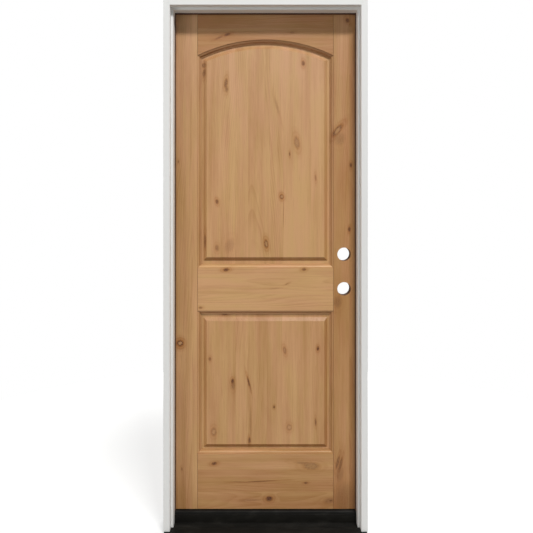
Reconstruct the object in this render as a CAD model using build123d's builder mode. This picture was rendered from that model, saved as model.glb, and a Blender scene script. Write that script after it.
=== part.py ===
"""Arched two-panel wooden entry door, hung in its frame on a sill.

+X is the lock side, +Y the inside of the house and +Z up. The origin is on the sill's underside, in the
middle of the doorway and of the jambs' depth. The door is closed, and swings inwards on three butt hinges.
"""

import os
from math import atan2, degrees, radians, sqrt, tan

from build123d import *

os.makedirs("parts", exist_ok=True)

# Driving dimensions, in millimetres
INCH = 25.4

# Door leaf
door_width = 29.75 * INCH
door_height = 79.25 * INCH
door_thickness = 1.75 * INCH
door_gap = INCH / 8
door_lift = 59.2
stile_face = 103.0
lock_bevel = 2.3

# Rails and arch, measured up from the door's lower edge to the edges of their flat faces
bottom_rail_face = 222.7
lock_rail_low = 801.0
lock_rail_high = 973.5
arch_crown = 1896.5
arch_rise = 64.0

# Moulding on the openings' edges: quirk, ovolo, ledge and panel groove
stick_width = 15.0
quirk_depth = 3.0
quirk_ledge = 1.5
ovolo_radius = 8.5
groove_depth = 14.0
groove_width = 16.0

# Raised panels
tongue_thickness = 15.6
tongue_reach = 12.0
panel_thickness = 36.5
panel_flat = 8.0
panel_lock_rail_flat = 13.8
panel_bevel = 14.0

# Dowels, with their heights above the door's lower edge
dowel_radius = 8.0
dowel_length = 120.0
dowel_room = 0.1
dowel_end_room = 1.0
dowel_chamfer = 1.5
top_rail_dowel_heights = (1885.0, 1965.0)
lock_rail_dowel_heights = (822.0, 957.0)
bottom_rail_dowel_heights = (50.0, 115.0, 180.0)

# Lock and deadbolt holes
bore_radius = 2.125 * INCH / 2
backset = 2.375 * INCH
lock_height = 889.0
deadbolt_rise = 5.5 * INCH
edge_bore_radius = INCH / 2
faceplate_width = 1.0 * INCH
faceplate_length = 2.25 * INCH
faceplate_depth = 3.2
faceplate_corner = 6.0
strike_width = 1.125 * INCH
strike_length = 2.75 * INCH
strike_depth = 1.6

# Jambs
jamb_depth = 4.5625 * INCH
jamb_thickness = 1.375 * INCH
door_rabbet = 0.625 * INCH
outer_rabbet_depth = 0.375 * INCH
outer_rabbet_width = 26.7
jamb_edge_radius = 1.5
kerf_width = 3.0
kerf_depth = 11.0
kerf_inset = 1.5

# Weatherstrip
seal_gap = 8.0
seal_room = 0.3
seal_overhang = 3.7
seal_corner = 3.5
seal_fin = 2.4
seal_fin_depth = 10.0

# Sill
sill_end_inset = 3.0
sill_nose = 12.7
nose_height = 7.0
deck_angle = 3.5
deck_sheet = 2.2
deck_groove_count = 7
deck_groove_start = -6.0
deck_groove_pitch = 9.0
deck_groove_width = 2.4
deck_groove_depth = 0.8
channel_front = 56.0
channel_back = 108.0
platform_height = 25.0
rail_height = 44.0
sill_room = 0.4
cap_top = 56.0
cap_travel = 4.0
cap_edge_radius = 3.0
pad_height = 55.6

# Captive screws of the threshold cap
adjuster_count = 4
adjuster_spacing = 200.0
adjuster_head_radius = 5.4
adjuster_head_height = 4.0
adjuster_head_sink = 1.2
adjuster_radius = 2.95
adjuster_collar_height = 1.5
adjuster_tip = 7.0
adjuster_slot_width = 1.4
adjuster_slot_depth = 1.6
adjuster_room = 0.05

# Door sweep
sweep_length_room = 4.0
sweep_width = 36.0
sweep_plate = 1.2
sweep_fin = 1.2
sweep_fin_height = 1.6
sweep_barb_height = 8.0
sweep_barb_inset = 7.0

# Butt hinges, with the heights of their middles above the door's lower edge
hinge_height = 4.0 * INCH
hinge_reach = 44.0
leaf_thickness = 2.5
leaf_corner = 0.625 * INCH
pin_offset = 6.0
pin_radius = 3.0
pin_room = 0.05
barrel_radius = 5.6
barrel_room = 0.35
knuckle_count = 5
knuckle_gap = 0.3
pin_tip_radius = 4.6
pin_tip_height = 3.0
hinge_heights = {"lower": 330.0, "middle": 1058.0, "upper": 1784.0}

# Screws
jamb_hinge_screw_length = 18.0
door_hinge_screw_length = 25.0
hinge_screw_radius = 2.2
hinge_screw_head = 4.6
hinge_screw_near = 17.0
hinge_screw_far = 32.0
hinge_screw_rows = (-38.0, -13.0, 13.0, 38.0)
frame_screw_length = 60.0
frame_screw_radius = 2.4
frame_screw_head = 4.8
head_screw_depths = (14.5, 43.5, 87.0)
sill_screw_depths = (14.5, 87.0)
screw_head_angle = 82.0
screw_tip = 4.0

# Planes and lines that follow from them
door_half = door_width / 2
rabbet_x = door_half + door_gap
jamb_back = jamb_thickness - door_rabbet
frame_half = rabbet_x + jamb_back
stop_x = frame_half - jamb_thickness
outer_thickness = jamb_thickness - outer_rabbet_depth
front_y = -jamb_depth / 2
inside_y = jamb_depth / 2
outside_y = inside_y - door_thickness
middle_y = (outside_y + inside_y) / 2
stop_back = jamb_depth - door_thickness - seal_gap
door_top = door_lift + door_height
frame_top = door_top + door_gap + jamb_back
face_x = door_half - stile_face
sight_x = face_x - stick_width
groove_x = sight_x + groove_depth
bore_x = door_half - backset
lock_z = door_lift + lock_height
deadbolt_z = lock_z + deadbolt_rise
arch_radius = (face_x**2 + arch_rise**2) / (2 * arch_rise)
arch_centre = arch_crown - arch_radius
arch_sight_radius = arch_radius - stick_width


def deck_height(depth):
    """Height of the deck's top surface at a depth behind the jambs' outer edge."""
    return nose_height + (depth + sill_nose) * tan(radians(deck_angle))


def save(piece, name):
    """Names a finished piece and writes it."""
    piece.label = name
    export_step(piece, f"parts/{name}.step")


def wood_screw(length, radius, head_radius):
    """A flat-head wood screw, its head's top at the origin and its tip down."""
    head_height = (head_radius - radius) / tan(radians(screw_head_angle / 2))
    with BuildPart() as screw:
        with BuildSketch(Plane.XZ):
            with BuildLine():
                Polyline(
                    (0, 0),
                    (head_radius, 0),
                    (radius, -head_height),
                    (radius, screw_tip - length),
                    (0, -length),
                    close=True,
                )
            make_face()
        revolve(axis=Axis.Z)
    return screw.part


jamb_hinge_screw = wood_screw(jamb_hinge_screw_length, hinge_screw_radius, hinge_screw_head)
door_hinge_screw = wood_screw(door_hinge_screw_length, hinge_screw_radius, hinge_screw_head)
frame_screw = wood_screw(frame_screw_length, frame_screw_radius, frame_screw_head)

# Butt hinges
pin_x = -(door_half + door_gap / 2)
pin_y = inside_y + pin_offset
knuckle_pitch = hinge_height / knuckle_count


def leaf_screw_planes(side, height):
    """Where a leaf's four screws go: on the face towards the other leaf, pointing out of the wood."""
    face = pin_x + side * door_gap / 2
    reaches = (hinge_screw_near, hinge_screw_far, hinge_screw_near, hinge_screw_far)
    return [
        Plane(origin=(face, pin_y - reach, height + row), x_dir=(0, 1, 0), z_dir=(-side, 0, 0))
        for reach, row in zip(reaches, hinge_screw_rows)
    ]


def hinge_leaf(side, height, own_knuckles):
    """A leaf let into the jamb (side -1) or the door's edge (side +1), with its own knuckles rolled on."""
    plate = Plane(
        origin=(pin_x + side * door_gap / 2, pin_y, height), x_dir=(0, -1, 0), z_dir=(side, 0, 0)
    )
    with BuildPart() as leaf:
        with BuildSketch(plate) as outline:
            with Locations((hinge_reach / 2, 0)):
                Rectangle(hinge_reach, hinge_height)
            fillet(outline.vertices().group_by(Axis.X)[-1], leaf_corner)
        extrude(amount=leaf_thickness)
        for knuckle in range(knuckle_count):
            low = height - hinge_height / 2 + knuckle * knuckle_pitch
            own = knuckle in own_knuckles
            gap = knuckle_gap / 2 if own else -knuckle_gap / 2
            with BuildSketch(Plane.XY.offset(low + gap)):
                with Locations((pin_x, pin_y)):
                    Circle(barrel_radius if own else barrel_radius + barrel_room)
            extrude(amount=knuckle_pitch - 2 * gap, mode=Mode.ADD if own else Mode.SUBTRACT)
        with Locations((pin_x, pin_y, height)):
            Hole(pin_radius + pin_room)
        with Locations(*leaf_screw_planes(side, height)):
            CounterSinkHole(hinge_screw_radius, hinge_screw_head, counter_sink_angle=screw_head_angle)
    return leaf.part


frame_knuckles = (0, 2, 4)
door_knuckles = (1, 3)
frame_leaves = {}
door_leaves = {}
for place, rise in hinge_heights.items():
    hinge_z = door_lift + rise
    frame_leaves[place] = hinge_leaf(-1, hinge_z, frame_knuckles)
    save(frame_leaves[place], f"{place}_hinge_frame_leaf")
    door_leaves[place] = hinge_leaf(1, hinge_z, door_knuckles)
    save(door_leaves[place], f"{place}_hinge_door_leaf")

    with BuildPart() as hinge_pin:
        with Locations((pin_x, pin_y, hinge_z)):
            Cylinder(pin_radius, hinge_height)
        for end in (-1, 1):
            with Locations((pin_x, pin_y, hinge_z + end * (hinge_height + pin_tip_height) / 2)):
                Cylinder(pin_tip_radius, pin_tip_height)
        tips = hinge_pin.edges().filter_by(GeomType.CIRCLE).sort_by(Axis.Z)
        chamfer([tips[0], tips[-1]], pin_tip_height / 3)
    save(hinge_pin.part, f"{place}_hinge_pin")

with BuildPart() as frame_leaf_screws:
    for rise in hinge_heights.values():
        with Locations(*leaf_screw_planes(-1, door_lift + rise)):
            add(jamb_hinge_screw)
save(frame_leaf_screws.part, "frame_leaf_screws")

with BuildPart() as door_leaf_screws:
    for rise in hinge_heights.values():
        with Locations(*leaf_screw_planes(1, door_lift + rise)):
            add(door_hinge_screw)
save(door_leaf_screws.part, "door_leaf_screws")

# Jambs: sections are drawn with the depth to the right and the thickness up from the jamb's back
hinge_jamb_plane = Plane(origin=(-frame_half, front_y, 0), x_dir=(0, 1, 0), z_dir=(0, 0, -1))
strike_jamb_plane = Plane(origin=(frame_half, front_y, 0), x_dir=(0, 1, 0), z_dir=(0, 0, 1))
head_jamb_plane = Plane(origin=(0, front_y, frame_top), x_dir=(0, 1, 0), z_dir=(-1, 0, 0))


def jamb_section(plane, kerfed=True):
    """The double-rabbeted jamb, with the seal's kerf in the back of its stop."""
    eased_corners = [
        (0, outer_thickness),
        (outer_rabbet_width, jamb_thickness),
        (stop_back, jamb_thickness),
    ]
    with BuildSketch(plane) as section:
        with BuildLine():
            Polyline(
                (0, 0),
                (0, outer_thickness),
                (outer_rabbet_width, outer_thickness),
                (outer_rabbet_width, jamb_thickness),
                (stop_back, jamb_thickness),
                (stop_back, jamb_back),
                (jamb_depth, jamb_back),
                (jamb_depth, 0),
                close=True,
            )
        make_face()
        corners = [section.vertices().sort_by_distance(corner)[0] for corner in eased_corners]
        fillet(corners, jamb_edge_radius)
        if kerfed:
            with Locations((stop_back - kerf_depth / 2, jamb_back + kerf_inset + kerf_width / 2)):
                Rectangle(kerf_depth, kerf_width, mode=Mode.SUBTRACT)
    return section.sketch


def head_screw_planes(side):
    """Where a leg's screws into the head go, on the leg's back."""
    height = frame_top - jamb_back / 2
    return [
        Plane(origin=(side * frame_half, front_y + depth, height), z_dir=(side, 0, 0))
        for depth in head_screw_depths
    ]


def sill_screw_planes(side):
    """Where the screws up into a leg go, on the sill's underside."""
    across = side * (frame_half - jamb_back / 2)
    return [Plane(origin=(across, front_y + depth, 0), z_dir=(0, 0, -1)) for depth in sill_screw_depths]


with BuildPart() as head_joint_screws:
    for side in (-1, 1):
        with Locations(*head_screw_planes(side)):
            add(frame_screw)
save(head_joint_screws.part, "head_joint_screws")

with BuildPart() as sill_joint_screws:
    for side in (-1, 1):
        with Locations(*sill_screw_planes(side)):
            add(frame_screw)
save(sill_joint_screws.part, "sill_joint_screws")

with BuildPart() as head_jamb:
    extrude(jamb_section(head_jamb_plane), amount=rabbet_x, both=True)
    add(head_joint_screws.part, mode=Mode.SUBTRACT)
save(head_jamb.part, "head_jamb")

# The legs are notched round the head, and their feet are cut to the sloping sill they stand on
head_notch = jamb_section(head_jamb_plane, kerfed=False)

with BuildPart() as sill_outline:
    with BuildSketch(Plane.YZ):
        with BuildLine():
            Polyline(
                (front_y - sill_nose, -nose_height),
                (front_y - sill_nose, nose_height),
                (front_y + channel_front, deck_height(channel_front)),
                (front_y + channel_front, platform_height),
                (inside_y + sill_nose, platform_height),
                (inside_y + sill_nose, -nose_height),
                close=True,
            )
        make_face()
    extrude(amount=frame_half * 2, both=True)

with BuildPart() as hinge_jamb:
    extrude(jamb_section(hinge_jamb_plane), amount=-frame_top)
    add(sill_outline.part, mode=Mode.SUBTRACT)
    extrude(head_notch, amount=rabbet_x, both=True, mode=Mode.SUBTRACT)
    add(head_joint_screws.part, mode=Mode.SUBTRACT)
    add(sill_joint_screws.part, mode=Mode.SUBTRACT)
    for leaf in frame_leaves.values():
        add(leaf, mode=Mode.SUBTRACT)
    add(frame_leaf_screws.part, mode=Mode.SUBTRACT)
save(hinge_jamb.part, "hinge_jamb")

with BuildPart() as strike_jamb:
    extrude(jamb_section(strike_jamb_plane), amount=frame_top)
    add(sill_outline.part, mode=Mode.SUBTRACT)
    extrude(head_notch, amount=rabbet_x, both=True, mode=Mode.SUBTRACT)
    add(head_joint_screws.part, mode=Mode.SUBTRACT)
    add(sill_joint_screws.part, mode=Mode.SUBTRACT)
    for height in (lock_z, deadbolt_z):
        strike_face = Plane(origin=(rabbet_x, middle_y, height), x_dir=(0, 1, 0), z_dir=(-1, 0, 0))
        with BuildSketch(strike_face):
            RectangleRounded(strike_width, strike_length, faceplate_corner)
        extrude(amount=-strike_depth, mode=Mode.SUBTRACT)
        with Locations(strike_face):
            Hole(edge_bore_radius, depth=jamb_back)
save(strike_jamb.part, "strike_jamb")

# Weatherstrip: a foam bulb behind the stop and a fin in the kerf, drawn in the jambs' sections


def seal_section(plane):
    """The seal as the closed door presses it, standing out past the stop's edge."""
    bulb_depth = seal_gap - seal_room
    bulb_width = door_rabbet + seal_overhang - seal_room
    with BuildSketch(plane) as section:
        with Locations((stop_back + bulb_depth / 2, jamb_back + seal_room + bulb_width / 2)):
            Rectangle(bulb_depth, bulb_width)
        fillet(section.vertices().group_by(Axis.Y)[-1], seal_corner)
        with Locations((stop_back - seal_fin_depth / 2, jamb_back + kerf_inset + kerf_width / 2)):
            Rectangle(seal_fin_depth, seal_fin)
    return section.sketch


with BuildPart() as head_weatherstrip:
    extrude(seal_section(head_jamb_plane), amount=rabbet_x - seal_room, both=True)
    for jamb in (hinge_jamb, strike_jamb):
        add(jamb.part, mode=Mode.SUBTRACT)
save(head_weatherstrip.part, "head_weatherstrip")

side_seal_top = frame_top - jamb_back - door_rabbet - seal_overhang
side_seal_bottom = cap_top + seal_room
side_seal_length = side_seal_top - side_seal_bottom

with BuildPart() as hinge_weatherstrip:
    extrude(seal_section(hinge_jamb_plane.offset(-side_seal_bottom)), amount=-side_seal_length)
save(hinge_weatherstrip.part, "hinge_weatherstrip")

with BuildPart() as strike_weatherstrip:
    extrude(seal_section(strike_jamb_plane.offset(side_seal_bottom)), amount=side_seal_length)
save(strike_weatherstrip.part, "strike_weatherstrip")

# Sill: an aluminium deck on a composite core, with a channel for the threshold cap
sill_half = frame_half - sill_end_inset
sheet_y = front_y + channel_front + deck_sheet
sheet_low = deck_height(channel_front + deck_sheet) - deck_sheet
nose_y = front_y - sill_nose
nose_low = deck_height(deck_sheet - sill_nose) - deck_sheet
adjuster_y = front_y + (channel_front + channel_back) / 2
adjuster_places = [
    (adjuster_spacing * (number - (adjuster_count - 1) / 2), adjuster_y) for number in range(adjuster_count)
]

with BuildPart() as sill_deck:
    with BuildSketch(Plane.YZ):
        with BuildLine():
            Polyline(
                (nose_y, 0),
                (nose_y, nose_height),
                (front_y + channel_front, deck_height(channel_front)),
                (front_y + channel_front, rail_height),
                (sheet_y, rail_height),
                (sheet_y, sheet_low),
                (nose_y + deck_sheet, nose_low),
                (nose_y + deck_sheet, 0),
                close=True,
            )
        make_face()
        for number in range(deck_groove_count):
            depth = deck_groove_start + number * deck_groove_pitch
            with Locations((front_y + depth, deck_height(depth))):
                Rectangle(deck_groove_width, 2 * deck_groove_depth, rotation=deck_angle, mode=Mode.SUBTRACT)
    extrude(amount=sill_half, both=True)
    for side in (-1, 1):
        with Locations((side * frame_half, front_y + channel_front, platform_height)):
            Box(
                2 * (frame_half - stop_x + sill_room),
                4 * deck_sheet,
                rail_height,
                align=(Align.CENTER, Align.CENTER, Align.MIN),
                mode=Mode.SUBTRACT,
            )
    add(sill_joint_screws.part, mode=Mode.SUBTRACT)
save(sill_deck.part, "sill_deck")

with BuildPart() as sill_substrate:
    with BuildSketch(Plane.YZ):
        with BuildLine():
            Polyline(
                (nose_y + deck_sheet, 0),
                (nose_y + deck_sheet, nose_low),
                (sheet_y, sheet_low),
                (sheet_y, platform_height),
                (front_y + channel_back, platform_height),
                (front_y + channel_back, rail_height),
                (inside_y, rail_height),
                (inside_y, 0),
                close=True,
            )
        make_face()
    extrude(amount=sill_half, both=True)
    for side in (-1, 1):
        with Locations((side * frame_half, inside_y, platform_height)):
            Box(
                2 * (jamb_back + sill_room),
                2 * (jamb_depth - channel_back) + deck_sheet,
                rail_height,
                align=(Align.CENTER, Align.CENTER, Align.MIN),
                mode=Mode.SUBTRACT,
            )
    add(sill_joint_screws.part, mode=Mode.SUBTRACT)
    screw_hole_depth = platform_height - adjuster_tip + cap_travel + adjuster_room
    with Locations(*[(x, y, platform_height) for x, y in adjuster_places]):
        Hole(adjuster_radius + adjuster_room, depth=screw_hole_depth)
save(sill_substrate.part, "sill_substrate")

# Threshold cap and its captive screws
cap_bottom = platform_height + cap_travel + 2 * sill_room
cap_front = sheet_y + sill_room
cap_back = front_y + channel_back - sill_room
head_floor = cap_top - adjuster_head_sink - adjuster_head_height - adjuster_room
collar_roof = cap_bottom + adjuster_collar_height + sill_room

with BuildPart() as threshold_cap:
    with BuildSketch(Plane.YZ) as section:
        with Locations(((cap_front + cap_back) / 2, (cap_bottom + cap_top) / 2)):
            Rectangle(cap_back - cap_front, cap_top - cap_bottom)
        fillet(section.vertices().group_by(Axis.Y)[-1], cap_edge_radius)
    extrude(amount=stop_x - 2 * sill_room, both=True)
    with Locations(*[(x, y, cap_top) for x, y in adjuster_places]):
        CounterBoreHole(
            adjuster_radius + adjuster_room, adjuster_head_radius + adjuster_room, cap_top - head_floor
        )
    with Locations(*[Plane(origin=(x, y, cap_bottom), z_dir=(0, 0, -1)) for x, y in adjuster_places]):
        Hole(adjuster_head_radius + adjuster_room, depth=collar_roof - cap_bottom)
save(threshold_cap.part, "threshold_cap")

for number, (x, y) in enumerate(adjuster_places, start=1):
    with BuildPart() as cap_adjuster:
        with BuildSketch(Plane(origin=(x, y, 0), x_dir=(1, 0, 0), z_dir=(0, -1, 0))):
            with BuildLine():
                Polyline(
                    (0, adjuster_tip),
                    (adjuster_radius, adjuster_tip),
                    (adjuster_radius, collar_roof - adjuster_room - adjuster_collar_height),
                    (adjuster_head_radius, collar_roof - adjuster_room - adjuster_collar_height),
                    (adjuster_head_radius, collar_roof - adjuster_room),
                    (adjuster_radius, collar_roof - adjuster_room),
                    (adjuster_radius, head_floor + adjuster_room),
                    (adjuster_head_radius, head_floor + adjuster_room),
                    (adjuster_head_radius, cap_top - adjuster_head_sink),
                    (0, cap_top - adjuster_head_sink),
                    close=True,
                )
            make_face()
        revolve(axis=Axis((x, y, 0), (0, 0, 1)))
        with Locations((x, y, cap_top - adjuster_head_sink)):
            Box(4 * adjuster_head_radius, adjuster_slot_width, 2 * adjuster_slot_depth, mode=Mode.SUBTRACT)
    save(cap_adjuster.part, f"cap_adjuster_{number}")

with BuildPart() as corner_pads:
    for side in (-1, 1):
        with BuildSketch(Plane.XY.offset(platform_height)):
            with Locations((side * (stop_x + rabbet_x) / 2, front_y + (stop_back + channel_back) / 2)):
                Rectangle(rabbet_x - stop_x - 2 * sill_room, channel_back - stop_back - 2 * sill_room)
        extrude(amount=pad_height - platform_height)
save(corner_pads.part, "corner_pads")

# Door leaf: each member's section is drawn with v as its depth behind the door's outside face


def moulded_edge(sight, outward):
    """Lines of one moulded edge, from the outside face to the inside face, round the panel groove.

    sight is the edge of the opening, and outward (+1 or -1) the way from the opening into the wood.
    """
    groove_low = (door_thickness - groove_width) / 2
    ovolo_end = quirk_depth + ovolo_radius
    ledge = stick_width - quirk_ledge - ovolo_radius
    bulge = ovolo_radius * (1 - sqrt(0.5))

    def at(u, v):
        return (sight + outward * u, v)

    def half(flip):
        def on(u, v):
            return at(u, flip(v))

        Polyline(
            on(stick_width, 0),
            on(stick_width, quirk_depth),
            on(ledge + ovolo_radius, quirk_depth),
        )
        ThreePointArc(
            on(ledge + ovolo_radius, quirk_depth),
            on(ledge + bulge, quirk_depth + bulge),
            on(ledge, ovolo_end),
        )
        Polyline(on(ledge, ovolo_end), on(0, ovolo_end), on(0, groove_low), on(groove_depth, groove_low))

    half(lambda v: v)
    half(lambda v: door_thickness - v)
    Line(at(groove_depth, groove_low), at(groove_depth, door_thickness - groove_low))


stile_plane = Plane(origin=(0, outside_y, door_lift), x_dir=(1, 0, 0), z_dir=(0, 0, 1))
rail_plane = Plane(origin=(0, outside_y, door_lift), x_dir=(0, 0, 1), z_dir=(-1, 0, 0))
panel_plane = Plane(origin=(0, middle_y, door_lift), x_dir=(1, 0, 0), z_dir=(0, -1, 0))
dowel_centre = groove_x


def dowel_planes(heights, sides=(-1, 1)):
    """Where the dowels of one rail go, half in the rail and half in the stile."""
    return [
        Plane(origin=(side * dowel_centre, middle_y, door_lift + height), z_dir=(1, 0, 0))
        for side in sides
        for height in heights
    ]


def dowels(heights):
    """Dowels of one rail, both ends."""
    with BuildPart() as pegs:
        with Locations(*dowel_planes(heights)):
            Cylinder(dowel_radius, dowel_length)
        chamfer(pegs.edges().filter_by(GeomType.CIRCLE), dowel_chamfer)
    return pegs.part


all_dowel_heights = top_rail_dowel_heights + lock_rail_dowel_heights + bottom_rail_dowel_heights
save(dowels(top_rail_dowel_heights), "top_rail_dowels")
save(dowels(lock_rail_dowel_heights), "lock_rail_dowels")
save(dowels(bottom_rail_dowel_heights), "bottom_rail_dowels")


def cut_dowel_holes(heights, sides=(-1, 1)):
    """Drills the dowels' holes in the member being built."""
    with Locations(*dowel_planes(heights, sides)):
        Cylinder(dowel_radius + dowel_room, dowel_length + 2 * dowel_end_room, mode=Mode.SUBTRACT)


with BuildPart() as door_sweep:
    with BuildSketch(Plane.YZ):
        with Locations((middle_y, door_lift - sweep_plate / 2)):
            Rectangle(sweep_width, sweep_plate)
        fin_reach = (sweep_width - sweep_fin) / 2
        for place in (-1, 0, 1):
            with Locations((middle_y + place * fin_reach, door_lift - sweep_plate - sweep_fin_height / 2)):
                Rectangle(sweep_fin, sweep_fin_height)
        for place in (-1, 1):
            barb_y = middle_y + place * (sweep_width / 2 - sweep_barb_inset)
            with Locations((barb_y, door_lift + sweep_barb_height / 2)):
                Rectangle(sweep_fin, sweep_barb_height)
    extrude(amount=door_half - sweep_length_room, both=True)
save(door_sweep.part, "door_sweep")

with BuildPart() as hinge_stile:
    with BuildSketch(stile_plane):
        with BuildLine():
            moulded_edge(-sight_x, -1)
            Polyline(
                (-face_x, 0), (-door_half, 0), (-door_half, door_thickness), (-face_x, door_thickness)
            )
        make_face()
    extrude(amount=door_height)
    cut_dowel_holes(all_dowel_heights, (-1,))
    for leaf in door_leaves.values():
        add(leaf, mode=Mode.SUBTRACT)
    add(door_leaf_screws.part, mode=Mode.SUBTRACT)
    add(door_sweep.part, mode=Mode.SUBTRACT)
save(hinge_stile.part, "hinge_stile")

with BuildPart() as lock_stile:
    with BuildSketch(stile_plane):
        with BuildLine():
            moulded_edge(sight_x, 1)
            Polyline(
                (face_x, 0),
                (door_half - lock_bevel, 0),
                (door_half, door_thickness),
                (face_x, door_thickness),
            )
        make_face()
    extrude(amount=door_height)
    cut_dowel_holes(all_dowel_heights, (1,))
    add(door_sweep.part, mode=Mode.SUBTRACT)
    for height in (lock_z, deadbolt_z):
        with Locations(Plane(origin=(bore_x, outside_y, height), z_dir=(0, -1, 0))):
            Hole(bore_radius, depth=door_thickness)
        edge_face = Plane(
            origin=(door_half - lock_bevel, middle_y, height), x_dir=(0, 1, 0), z_dir=(1, 0, 0)
        )
        with BuildSketch(edge_face.offset(-faceplate_depth)):
            RectangleRounded(faceplate_width, faceplate_length, faceplate_corner)
        extrude(amount=faceplate_depth + lock_bevel, mode=Mode.SUBTRACT)
        with Locations(edge_face):
            Hole(edge_bore_radius, depth=backset - lock_bevel)
save(lock_stile.part, "lock_stile")

with BuildPart() as bottom_rail:
    with BuildSketch(rail_plane):
        with BuildLine():
            moulded_edge(bottom_rail_face + stick_width, -1)
            Polyline(
                (bottom_rail_face, 0), (0, 0), (0, door_thickness), (bottom_rail_face, door_thickness)
            )
        make_face()
    extrude(amount=groove_x, both=True)
    for stile in (hinge_stile, lock_stile):
        add(stile.part, mode=Mode.SUBTRACT)
    cut_dowel_holes(bottom_rail_dowel_heights)
    add(door_sweep.part, mode=Mode.SUBTRACT)
save(bottom_rail.part, "bottom_rail")

with BuildPart() as lock_rail:
    with BuildSketch(rail_plane):
        with BuildLine():
            moulded_edge(lock_rail_low - stick_width, 1)
            moulded_edge(lock_rail_high + stick_width, -1)
            for face in (0, door_thickness):
                Line((lock_rail_low, face), (lock_rail_high, face))
        make_face()
    extrude(amount=groove_x, both=True)
    for stile in (hinge_stile, lock_stile):
        add(stile.part, mode=Mode.SUBTRACT)
    cut_dowel_holes(lock_rail_dowel_heights)
save(lock_rail.part, "lock_rail")

# The arched rail's moulded edge is turned about the arch's centre
arch_plane = Plane(origin=(0, outside_y, door_lift + arch_centre), x_dir=(0, 0, 1), z_dir=(-1, 0, 0))
rail_horn = arch_crown - arch_rise - 2 * stick_width

with BuildPart() as arch_opening:
    with BuildSketch(arch_plane):
        with BuildLine():
            moulded_edge(arch_sight_radius, 1)
            Polyline(
                (arch_radius, 0),
                (arch_radius, -quirk_depth),
                (0, -quirk_depth),
                (0, door_thickness + quirk_depth),
                (arch_radius, door_thickness + quirk_depth),
                (arch_radius, door_thickness),
            )
        make_face()
    revolve(axis=Axis(arch_plane.origin, (0, 1, 0)))

with BuildPart() as top_rail:
    with BuildSketch(panel_plane):
        with Locations((0, (rail_horn + door_height) / 2)):
            Rectangle(2 * groove_x, door_height - rail_horn)
    extrude(amount=door_thickness / 2, both=True)
    add(arch_opening.part, mode=Mode.SUBTRACT)
    for stile in (hinge_stile, lock_stile):
        add(stile.part, mode=Mode.SUBTRACT)
    cut_dowel_holes(top_rail_dowel_heights)
save(top_rail.part, "top_rail")

# Raised panels: outlines are the openings, grown into the grooves or drawn in for the raised field
raise_height = (panel_thickness - tongue_thickness) / 2
bevel_taper = degrees(atan2(panel_bevel, raise_height))


def lower_outline(grow, lock_rail_grow):
    """Lines of the lower opening, grown by one distance at the lock rail and another on the other sides."""
    half = sight_x + grow
    low = bottom_rail_face + stick_width - grow
    high = lock_rail_low - stick_width + lock_rail_grow
    Polyline((half, high), (half, low), (-half, low), (-half, high), close=True)


def upper_outline(grow, lock_rail_grow):
    """Lines of the arched upper opening, grown by one distance at the lock rail and another elsewhere."""
    half = sight_x + grow
    low = lock_rail_high + stick_width - lock_rail_grow
    radius = arch_sight_radius + grow
    spring = arch_centre + sqrt(radius**2 - half**2)
    Polyline((half, spring), (half, low), (-half, low), (-half, spring))
    ThreePointArc((-half, spring), (0, arch_centre + radius), (half, spring))


def raised_panel(outline):
    """A panel with a tongue all round, a flat that is wider at the lock rail, a bevel and a raised field."""
    with BuildPart() as panel:
        with BuildSketch(panel_plane):
            with BuildLine():
                outline(tongue_reach, tongue_reach)
            make_face()
        extrude(amount=tongue_thickness / 2, both=True)
        with BuildSketch(panel_plane.offset(tongue_thickness / 2)):
            with BuildLine():
                outline(-panel_flat, -panel_lock_rail_flat)
            make_face()
        extrude(amount=raise_height, taper=bevel_taper)
        mirror(about=panel_plane)
    return panel.part


save(raised_panel(lower_outline), "lower_panel")
save(raised_panel(upper_outline), "upper_panel")
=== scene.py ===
"""Looks of the arched two-panel alder door in its white frame: wood, paint, seals, metal and light."""

import math
from collections import namedtuple

import bmesh
import bpy
from bpy.props import FloatProperty, FloatVectorProperty, PointerProperty
from mathutils import Matrix, Vector


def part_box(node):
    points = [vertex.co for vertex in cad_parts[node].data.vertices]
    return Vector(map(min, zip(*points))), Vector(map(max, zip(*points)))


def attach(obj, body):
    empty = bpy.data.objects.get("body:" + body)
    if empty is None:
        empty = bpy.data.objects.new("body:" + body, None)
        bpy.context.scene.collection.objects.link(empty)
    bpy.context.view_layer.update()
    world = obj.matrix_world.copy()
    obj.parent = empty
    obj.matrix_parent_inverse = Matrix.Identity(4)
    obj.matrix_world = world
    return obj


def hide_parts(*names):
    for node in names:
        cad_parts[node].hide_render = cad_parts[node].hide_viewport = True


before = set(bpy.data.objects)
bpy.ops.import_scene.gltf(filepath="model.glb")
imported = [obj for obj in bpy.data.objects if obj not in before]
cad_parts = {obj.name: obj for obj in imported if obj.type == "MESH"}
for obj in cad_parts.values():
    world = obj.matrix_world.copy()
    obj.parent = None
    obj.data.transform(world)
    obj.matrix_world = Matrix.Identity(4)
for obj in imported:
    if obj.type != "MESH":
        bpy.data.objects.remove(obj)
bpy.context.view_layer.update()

bl_info = {
    "name": "Arched alder door",
    "version": (1, 0, 0),
    "blender": (4, 5, 0),
    "location": "3D View > Sidebar > Door",
    "description": "Dresses the packed door and its frame, and sets light and camera",
    "category": "Object",
}

MM = 0.001

# Grain directions: which object axis runs across, through and along a board
UPRIGHT = ("X", "Y", "Z")
LEVEL = ("Z", "Y", "X")

# The stile with the two lock bores, how far they stand from the door's middle, and their reach to either side
BORED = "lock_stile"
BORE_LINE = 317.5 * MM
BORE_REACH = 27.2 * MM

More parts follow.
